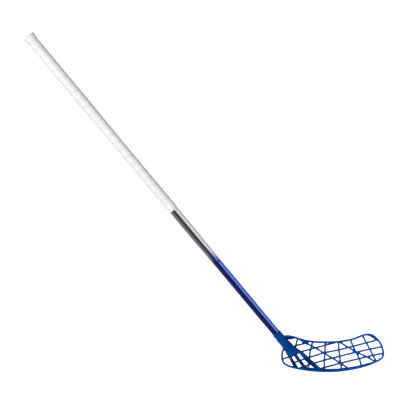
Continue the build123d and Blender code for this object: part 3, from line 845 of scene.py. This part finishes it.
def run_on(points, reach):
    """A rib's line, run on past both ends, and cut where it meets the middle of the rim."""
    line = np.asarray(points, float)
    ends = line[[0, -1]] - line[[1, -2]]
    ends = line[[0, -1]] + ends / np.linalg.norm(ends, axis=1, keepdims=True) * reach
    line = np.vstack([ends[:1], line, ends[1:]])
    for _ in range(2):
        line = line[::-1]
        points_on_rim, places, _ = meeting(line, rim_line)
        near = np.linalg.norm(points_on_rim - line[-1], axis=1) < 2 * reach + RIM_WIDTH
        if near.any():
            first = np.argmin(np.where(near, places, np.inf))
            line = np.vstack([line[:int(places[first]) + 1], points_on_rim[first]])
    return line


def corner_fillet(centre, first, second, first_width, second_width):
    """The round in one corner between two crossing bars, as deep as the ribs and as eased.

    The corner of the bars' edges lies half of each width along the other bar's run, over the sine
    of the angle between them. The round touches both edges, and its centre lies on their bisector.
    Towards both faces it draws back as the ribs' own rounded edges do.
    """
    cosine = np.clip(first @ second, -1, 1)
    half = np.arccos(cosine) / 2
    sine = np.sin(2 * half)
    corner = centre + first * second_width / 2 / sine + second * first_width / 2 / sine
    radius = min(CELL_ROUND, CORNER_REACH * np.tan(half))
    bisector = (first + second) / np.linalg.norm(first + second)
    pivot = corner + bisector * radius / np.sin(half)
    facing = np.arctan2(*-bisector[::-1])
    spread = np.pi / 2 - half
    way = np.sign(first[0] * second[1] - first[1] * second[0])
    angle = facing + way * np.linspace(-spread, spread, 7)[::-1]
    turn = np.linspace(0, np.pi / 2, 5)
    top = RIB_DEPTH / 2 - CELL_ROUND_SUNK
    levels = np.concatenate([top - RIB_ROUND * (1 - np.sin(turn[::-1])), [0]])
    draw = np.concatenate([RIB_ROUND * (1 - np.cos(turn[::-1])), [0]])
    levels, draw = np.concatenate([levels, -levels[-2::-1]]), np.concatenate([draw, draw[-2::-1]])
    arc = pivot + (radius + draw)[:, None, None] * np.column_stack([np.cos(angle), np.sin(angle)])
    ring = np.concatenate([np.broadcast_to(centre, (len(levels), 1, 2)), arc], 1)
    out = np.broadcast_to(levels[:, None, None], (*ring.shape[:2], 1))
    points = hooked(np.concatenate([ring, out], -1))
    if way > 0:
        points = points[:, ::-1]
    return grid_faces(points, levels[:, None] * MM)


def ways_on(line, place):
    """The unit directions in which a line goes on from a place on it, by more than a corner's reach."""
    i = min(int(place), len(line) - 2)
    run = line[i + 1] - line[i]
    here = line[i] + run * (place - i)
    run = run / np.linalg.norm(run)
    return [way for way, end in ((run, line[-1]), (-run, line[0]))
            if np.linalg.norm(end - here) > CORNER_REACH]


def corner_rounds():
    """Rounds in the corners where ribs cross each other and where they meet the rim."""
    rounds = []
    for i, line in enumerate(rib_lines):
        for other in rib_lines[i + 1:]:
            for here, place, across in zip(*meeting(line, other)):
                for first in ways_on(line, place):
                    for second in ways_on(other, across):
                        if abs(first @ second) < NEARLY_STRAIGHT:
                            rounds.append(corner_fillet(here, first, second, RIB_WIDTH, RIB_WIDTH))
        for end, before in ((line[0], line[1]), (line[-1], line[-2])):
            nearest = np.argmin(np.linalg.norm(rim_line - end, axis=1))
            if np.linalg.norm(rim_line[nearest] - end) < 1:
                first = (before - end) / np.linalg.norm(before - end)
                for second in (heading[nearest], -heading[nearest]):
                    if abs(first @ second) < NEARLY_STRAIGHT:
                        rounds.append(corner_fillet(end, first, second, RIB_WIDTH, RIM_WIDTH))
    return rounds


rib_lines = [run_on(points, RIB_OVERRUN) for points in RIBS]
rib_bars = [eased_bar(RIB_WIDTH, RIB_DEPTH - RIB_LESS * i, RIB_ROUND, RIB_DRAFT)
            for i in range(len(rib_lines))]
piece("blade_ribs", [shape_of(finely(line, RIB_STEP), bar) for line, bar in zip(rib_lines, rib_bars)],
      blade_plastic, "blade")
piece("blade_corner_rounds", corner_rounds(), blade_plastic, "blade")


# ==== Blade: webs ====
# Thin skins of the same moulding. Two fill the narrow corners at the top of the blade, and a ledge
# lies inside the rim along the sole.

WEB_DEPTH, WEB_ROUND, WEB_STEPS = 2.4, 0.45, 41
CORNER_WEBS = (              # inner edge, and the web's width along it
    (((-93.5, 80.5), (-84.6, 77), (-66, 79.6)), (5, 8, 3)),
    (((91, 87.6), (98.7, 87.2), (110.5, 82.6), (120.6, 76.6), (127.5, 75.5)), (0.5, 3, 6, 4.5, 0.5)))
LEDGE_SHIFT = (4.0, 3.3)     # how far along and up the ledge's inner edge lies from the rim's
LEDGE_SPAN, LEDGE_LAP, LEDGE_END = (-64.0, 122.0), 0.6, 0.15


def web(points, widths):
    """A thin flat web on the left of a path, with a width for each of the path's points."""
    gone = np.linspace(0, 1, WEB_STEPS)
    curve = smooth_through(points)(gone)
    width = np.interp(gone, np.linspace(0, 1, len(widths)), widths)
    bar = eased_bar(1.0, WEB_DEPTH, WEB_ROUND)
    ring = np.stack(np.broadcast_arrays((bar[:, 0] + 0.5) * width[:, None], bar[:, 1]), -1)
    return shape_of(curve, ring)


def sole_ledge():
    """The thin ledge inside the rim along the sole.

    Its width follows the way the rim faces, so it narrows as the rim turns up to the toe, and it
    tapers over its last rows at both ends.
    """
    along = (edge[:, 0] > LEDGE_SPAN[0]) & (edge[:, 0] < LEDGE_SPAN[1]) & (heading[:, 0] < -0.5)
    line = (edge + inwards * (RIM_WIDTH - LEDGE_LAP))[along][::3]
    width = (inwards[along] @ np.array(LEDGE_SHIFT))[::3] + LEDGE_LAP
    rows = np.arange(len(line))
    width = width * np.minimum(1, LEDGE_END + np.minimum(rows, rows[::-1]) / 6)
    bar = eased_bar(1.0, WEB_DEPTH, WEB_ROUND)
    ring = np.stack(np.broadcast_arrays(-(bar[:, 0] + 0.5) * width[:, None], bar[:, 1]), -1)
    return shape_of(line, ring[:, ::-1])


piece("blade_webs", [sole_ledge(), *(web(*corner_web) for corner_web in CORNER_WEBS)],
      blade_plastic, "blade")


# ==== Blade: socket ====
# The same moulding runs up as a round socket for the tube, with a rounded lip. Below the tube a
# crease and a low ridge run round it, and it widens and thickens to a yoke for the legs.

SOCKET_DEPTH, SOCKET_WALL, FIT = 49.0, 1.2, 0.1
LIP_ROUND = 0.6
# Pairs of a distance below the mouth and a size there, for the two sides and for half the depth.
YOKE_TOE = ((0, 10.7), (16, 10.8), (30, 11.2), (40, 12.2), (50, 13.4), (62, 16.0), (75, 19.9))
YOKE_HEEL = ((0, -10.7), (16, -10.8), (30, -11.1), (40, -11.9), (52, -12.9), (64, -14.9),
             (75, -17.8))
YOKE_DEPTH = ((0, 10.7), (16, 10.8), (32, 11.2), (47, 11.3), (53, 11.2), (60, 10.6), (75, 9.3))
YOKE_GROWS = (40.0, 60.0)    # it turns from round to squarish, and its rows tilt, between these
YOKE_SQUARE, YOKE_TILT = 0.5, 0.24
YOKE_END, YOKE_END_ROUND = 69.5, 4.5
YOKE_END_SHARE = 0.25        # what is left of its depth at its end
CREASE_AT, CREASE_DEPTH, CREASE_REACH = 47.5, 1.2, 1.1
RIDGE_AT, RIDGE_HEIGHT, RIDGE_REACH = 51.2, 0.4, 1.5
SOCKET_COLUMNS = 120
LEG_LINE = np.array([DOWN[0], DOWN[2]])
LEG_SIDE = np.array([ACROSS[0], ACROSS[2]])


def table(pairs, at):
    """A value read off the straight lines between the (place, value) pairs of a short list."""
    places, values = np.array(pairs, float).T
    return np.interp(at, places, values)


def from_mouth(below, side, out):
    """Points of the blade from distances below the mouth, to the toe side, and out of its plane."""
    flat = np.array(MOUTH) + below[..., None] * LEG_LINE + side[..., None] * LEG_SIDE
    return hooked(np.concatenate([flat, out[..., None]], -1))


def socket_faces():
    """The bore, a rounded lip, and the outside as ovals that grow and square off down the yoke.

    An oval's points lie half its width and depth out, times the cosine and sine raised to two
    over its squareness. A crease and a ridge are bell curves added to its size.
    """
    bore = LOW_D / 2 + FIT
    turn = np.linspace(0, np.pi, 9)[1:-1]
    down_bore = np.array([SOCKET_DEPTH, 30, 10, LIP_ROUND])
    down_lip = LIP_ROUND * (1 - np.sin(turn))
    inner = np.concatenate([np.full(len(down_bore), bore),
                            bore + SOCKET_WALL / 2 - LIP_ROUND * np.cos(turn)])
    end_round = np.cos(np.linspace(0, np.pi / 2, 8)[1:])
    # Rows stand closest round the crease and the ridge.
    outside = np.concatenate([np.arange(LIP_ROUND, 44, 1.8), np.arange(44, 56, 0.5),
                              np.linspace(56, YOKE_END - YOKE_END_ROUND, 8),
                              YOKE_END - YOKE_END_ROUND * end_round])
    fall = np.clip((outside - YOKE_END + YOKE_END_ROUND) / YOKE_END_ROUND, 0, 1)
    fall = YOKE_END_SHARE + (1 - YOKE_END_SHARE) * np.sqrt(1 - fall ** 2)
    toe, heel = table(YOKE_TOE, outside), table(YOKE_HEEL, outside)
    below = np.concatenate([down_bore, down_lip, outside])[:, None]
    width = np.concatenate([inner, (toe - heel) / 2])[:, None]
    depth = np.concatenate([inner, table(YOKE_DEPTH, outside) * fall])[:, None]
    shift = np.concatenate([inner * 0, (toe + heel) / 2])[:, None]
    is_outside = np.arange(len(below))[:, None] >= len(inner)
    grown = np.interp(below, YOKE_GROWS, (0, 1))
    squareness = 2 + YOKE_SQUARE * grown
    angle = 2 * np.pi * np.arange(SOCKET_COLUMNS) / SOCKET_COLUMNS
    across, out = (np.abs(wave) ** (2 / squareness) * np.sign(wave)
                   for wave in (np.cos(angle), np.sin(angle)))
    place = below + YOKE_TILT * grown * is_outside * across * width
    swell = (RIDGE_HEIGHT * np.exp(-((place - RIDGE_AT) / RIDGE_REACH) ** 2)
             - CREASE_DEPTH * np.exp(-((place - CREASE_AT) / CREASE_REACH) ** 2)) * is_outside
    points = from_mouth(place, shift + across * (width + swell), out * (depth + swell))
    return grid_faces(points, below * MM)


piece("blade_socket", [socket_faces()], blade_plastic, "blade")


# ==== Blade: legs ====
# The yoke parts into three legs of the same moulding, which carry the load down to the sole. Each
# has a flat ridge, a recess beside it with a thin floor, and a foot that thins out inside the rim.

LEG_START, LEG_SHORT = 58.0, 2.2         # a leg starts inside the yoke and ends short of the sole
LEG_ROWS, LEG_END_GUESS = 110, 112.0
LEG_DEPTH = ((50, 11.2), (75, 9.0), (110, 6.2), (145, 5.2))
LEG_REACH = ((50, 14.0), (90, 26.7), (145, 34.7))   # so far from CROWN_AT it is less by LEG_CROWN
LEG_RISE, LEG_FOOT = 16.0, 9.0   # over these a leg gains its depth, and loses half of it
LEG_CROWN, CROWN_AT, START_DEPTH = 0.3, 1.5, 0.62
POCKET_FLOOR, POCKET_FADE, SLOT_ROUND = 1.5, 3.0, 0.9
RIDGE_STEPS = (              # side of the ridge's edge, whether on the pocket's floor, and drop
    (-0.45, 0, 0), (-0.1, 0, 0.12), (0.05, 0, 0.45), (0.3, 1, -0.45), (0.45, 1, -0.12), (0.8, 1, 0))
LEGS = (                     # heel edge, toe edge, ridge's share, pocket, outer round, ridge to toe
    (((52, -12.4), (64, -14.9), (75, -17.8), (120, -27)),
     ((52, -7.0), (66, -8.2), (107, -13.4), (130, -16)), 0.5, (66, 101), 3.0, False),
    (((52, -3.0), (67, -3.3), (108, -5.2), (130, -6.2)),
     ((52, 4.5), (72, 4.5), (103, 3.6), (130, 2.5)), 0.52, (70, 112), 0.9, False),
    (((52, 8.5), (73, 10.3), (97, 10.6), (110, 13.6), (124, 15.8), (140, 17)),
     ((52, 13.2), (62, 16), (75, 19.9), (109, 24.3), (145, 29.5)), 0.36, (88, 122), 2.4, True))

sole = heading[:, 0] < -0.5
sole_places = (edge[sole] - MOUTH) @ np.column_stack([LEG_LINE, LEG_SIDE])
sole_places = sole_places[np.argsort(sole_places[:, 1])]


def eased(share):
    """A share of 0 to 1 that starts and stops gently: three of its squares less two of its cubes."""
    return share * share * (3 - 2 * share)


def leg_faces(heel_edge, toe_edge, ridge, pocket, outer_round, flip):
    """One leg: a bar between two edges, from inside the yoke to the sole, ridged and recessed.

    Across it, the section climbs round its outer edge to a flat ridge, steps down to the floor of
    the recess and ends in a small round at the slot. Flip turns the section about, so that the
    ridge lies on the toe side. Its depth falls down the leg, and to both sides of the blade.
    """
    if flip:
        heel_edge, toe_edge = ([(at, -side) for at, side in edges] for edges in (toe_edge, heel_edge))
    sign = -1 if flip else 1
    bend = np.linspace(0, np.pi / 2, 6)
    share = np.concatenate([np.zeros(7), np.full(6, ridge), np.ones(7)])
    end = np.interp(share, (0, 1), (table(heel_edge, LEG_END_GUESS), table(toe_edge, LEG_END_GUESS)))
    for _ in range(3):
        reach = np.interp(sign * end, sole_places[:, 1], sole_places[:, 0]) - LEG_SHORT
        end = table(heel_edge, reach) * (1 - share) + table(toe_edge, reach) * share
    place = LEG_START + (reach - LEG_START) * np.linspace(0, 1, LEG_ROWS)[:, None]
    heel, toe = table(heel_edge, place), table(toe_edge, place)
    small = np.minimum(SLOT_ROUND, (toe - heel) / 4)[:, 13:19]
    large = np.minimum(outer_round, (toe - heel) * ridge * 0.7)[:, 1:7]
    side = heel * (1 - share) + toe * share
    side[:, 1:7] += large * (1 - np.cos(bend))
    side[:, 7:13] += [step[0] for step in RIDGE_STEPS]
    side[:, 13:19] -= small * (1 - np.cos(bend[::-1]))
    crown = 1 - LEG_CROWN * ((sign * side - CROWN_AT) / table(LEG_REACH, place)) ** 2
    foot = eased(np.clip((reach - place) / LEG_FOOT, 0, 1))
    rise = START_DEPTH + (1 - START_DEPTH) * np.clip((place - LEG_START) / LEG_RISE, 0, 1)
    high = table(LEG_DEPTH, place) * crown * rise * (0.5 + 0.5 * foot)
    fade = eased(np.clip((place - pocket[0]) / POCKET_FADE, 0, 1)
                 * np.clip((pocket[1] - place) / POCKET_FADE, 0, 1))
    low = high - (high - POCKET_FLOOR) * fade
    out = np.zeros_like(side)
    out[:, 1:7] = high[:, 1:7] - large * (1 - np.sin(bend))
    for column, (_, floor, drop) in enumerate(RIDGE_STEPS, 7):
        level = low[:, column] if floor else high[:, column]
        out[:, column] = level - drop * fade[:, column]
    out[:, 13:19] = low[:, 13:19] - small * (1 - np.sin(bend[::-1]))
    side, out, place = (np.concatenate([near[:, ::-1], far[:, 1:-1]], 1)
                        for near, far in ((side, side), (out, -out), (place, place)))
    points = from_mouth(place, sign * side, out)
    if flip:
        points = points[:, ::-1]
    return grid_faces(points, place[:, :1] * MM)


piece("blade_legs", [leg_faces(*leg) for leg in LEGS], blade_plastic, "blade")
